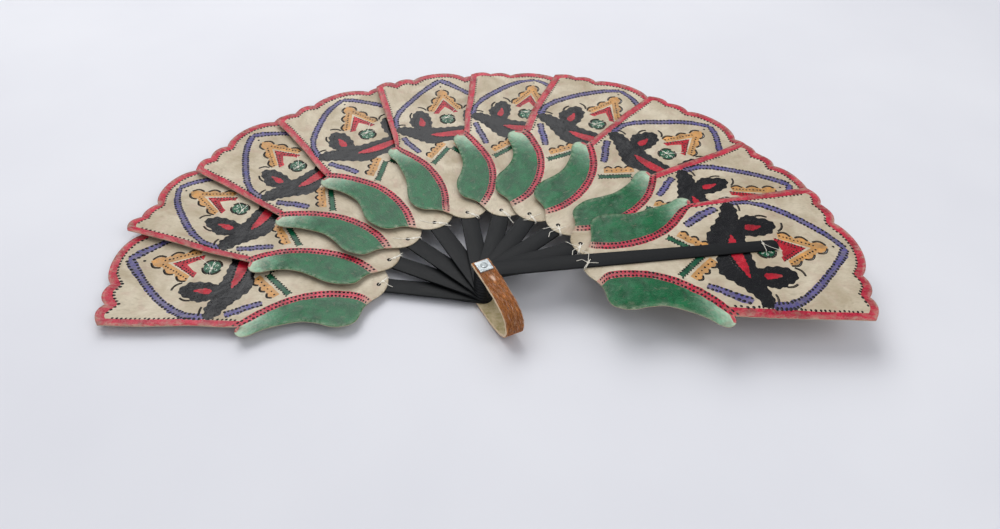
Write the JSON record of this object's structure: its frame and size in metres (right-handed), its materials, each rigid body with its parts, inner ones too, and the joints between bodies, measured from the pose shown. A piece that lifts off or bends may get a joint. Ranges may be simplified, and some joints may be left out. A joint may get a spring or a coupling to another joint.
{
  "type": "hand fan",
  "caption": "Folding hand fan of painted, pierced hide leaves with green side lobes, each tied to a slim black stick; the sticks turn on one rivet with a hair-on hide hanging strap.",
  "frame": {"origin": "on the pivot axis, at the flat underside of the rivet's rear head", "axes": "+Z along the pivot from the rear head to the front washer; the open fan spreads over +Y, with the rear guard towards -X and the front guard towards +X; +X is the longest extent and +Z the shortest"},
  "size_m": [0.4466, 0.2586, 0.0297],
  "materials": {
    "black_stick": "satin black, smooth, faint edge wear",
    "painted_hide": "parchment painted with water colours, red edging, green lobes, pierced",
    "linen_thread": "matt twisted thread",
    "hair_on_hide": "short brown hair outside, cream flesh side inside",
    "pale_metal": "pale worn metal, hammered rivet end"
  },
  "bodies": {
    "rear_blade": {"rear_guard": "black_stick", "leaf_01": "painted_hide", "inner_tie_01": "linen_thread", "outer_tie_01": "linen_thread", "pivot_rivet": "pale_metal"},
    "blade_02": {"stick_02": "black_stick", "leaf_02": "painted_hide", "inner_tie_02": "linen_thread", "outer_tie_02": "linen_thread"},
    "blade_03": {"stick_03": "black_stick", "leaf_03": "painted_hide", "inner_tie_03": "linen_thread", "outer_tie_03": "linen_thread"},
    "blade_04": {"stick_04": "black_stick", "leaf_04": "painted_hide", "inner_tie_04": "linen_thread", "outer_tie_04": "linen_thread"},
    "blade_05": {"stick_05": "black_stick", "leaf_05": "painted_hide", "inner_tie_05": "linen_thread", "outer_tie_05": "linen_thread"},
    "blade_06": {"stick_06": "black_stick", "leaf_06": "painted_hide", "inner_tie_06": "linen_thread", "outer_tie_06": "linen_thread"},
    "blade_07": {"stick_07": "black_stick", "leaf_07": "painted_hide", "inner_tie_07": "linen_thread", "outer_tie_07": "linen_thread"},
    "blade_08": {"stick_08": "black_stick", "leaf_08": "painted_hide", "inner_tie_08": "linen_thread", "outer_tie_08": "linen_thread"},
    "blade_09": {"stick_09": "black_stick", "leaf_09": "painted_hide", "inner_tie_09": "linen_thread", "outer_tie_09": "linen_thread"},
    "front_blade": {"front_guard": "black_stick", "leaf_10": "painted_hide", "inner_tie_10": "linen_thread", "outer_tie_10": "linen_thread"},
    "strap": {"hanging_strap": "hair_on_hide", "square_washer": "pale_metal"}
  },
  "joints": [
    {"name": "fan_closing", "type": "hinge", "parent": "rear_blade", "child": "front_blade", "pos_m": [0, 0, 0], "axis": [0, 0, 1], "range_deg": [0, 165.5]},
    {"name": "blade_09_turn", "type": "hinge", "parent": "rear_blade", "child": "blade_09", "pos_m": [0, 0, 0], "axis": [0, 0, 1], "range_deg": [0, 150.5]},
    {"name": "blade_08_turn", "type": "hinge", "parent": "rear_blade", "child": "blade_08", "pos_m": [0, 0, 0], "axis": [0, 0, 1], "range_deg": [0, 130]},
    {"name": "blade_07_turn", "type": "hinge", "parent": "rear_blade", "child": "blade_07", "pos_m": [0, 0, 0], "axis": [0, 0, 1], "range_deg": [0, 110.5]},
    {"name": "blade_06_turn", "type": "hinge", "parent": "rear_blade", "child": "blade_06", "pos_m": [0, 0, 0], "axis": [0, 0, 1], "range_deg": [0, 93.5]},
    {"name": "blade_05_turn", "type": "hinge", "parent": "rear_blade", "child": "blade_05", "pos_m": [0, 0, 0], "axis": [0, 0, 1], "range_deg": [0, 74]},
    {"name": "blade_04_turn", "type": "hinge", "parent": "rear_blade", "child": "blade_04", "pos_m": [0, 0, 0], "axis": [0, 0, 1], "range_deg": [0, 54]},
    {"name": "blade_03_turn", "type": "hinge", "parent": "rear_blade", "child": "blade_03", "pos_m": [0, 0, 0], "axis": [0, 0, 1], "range_deg": [0, 35]},
    {"name": "blade_02_turn", "type": "hinge", "parent": "rear_blade", "child": "blade_02", "pos_m": [0, 0, 0], "axis": [0, 0, 1], "range_deg": [0, 17.5]},
    {"name": "strap_swing", "type": "hinge", "parent": "rear_blade", "child": "strap", "pos_m": [0, 0, 0], "axis": [0, 0, 1], "range_deg": [-75, 20]}
  ],
  "couplings": [
    {"joint": "blade_09_turn", "follows": "fan_closing", "ratio": 0.90937},
    {"joint": "blade_08_turn", "follows": "fan_closing", "ratio": 0.7855},
    {"joint": "blade_07_turn", "follows": "fan_closing", "ratio": 0.66767},
    {"joint": "blade_06_turn", "follows": "fan_closing", "ratio": 0.56495},
    {"joint": "blade_05_turn", "follows": "fan_closing", "ratio": 0.44713},
    {"joint": "blade_04_turn", "follows": "fan_closing", "ratio": 0.32628},
    {"joint": "blade_03_turn", "follows": "fan_closing", "ratio": 0.21148},
    {"joint": "blade_02_turn", "follows": "fan_closing", "ratio": 0.10574}
  ]
}
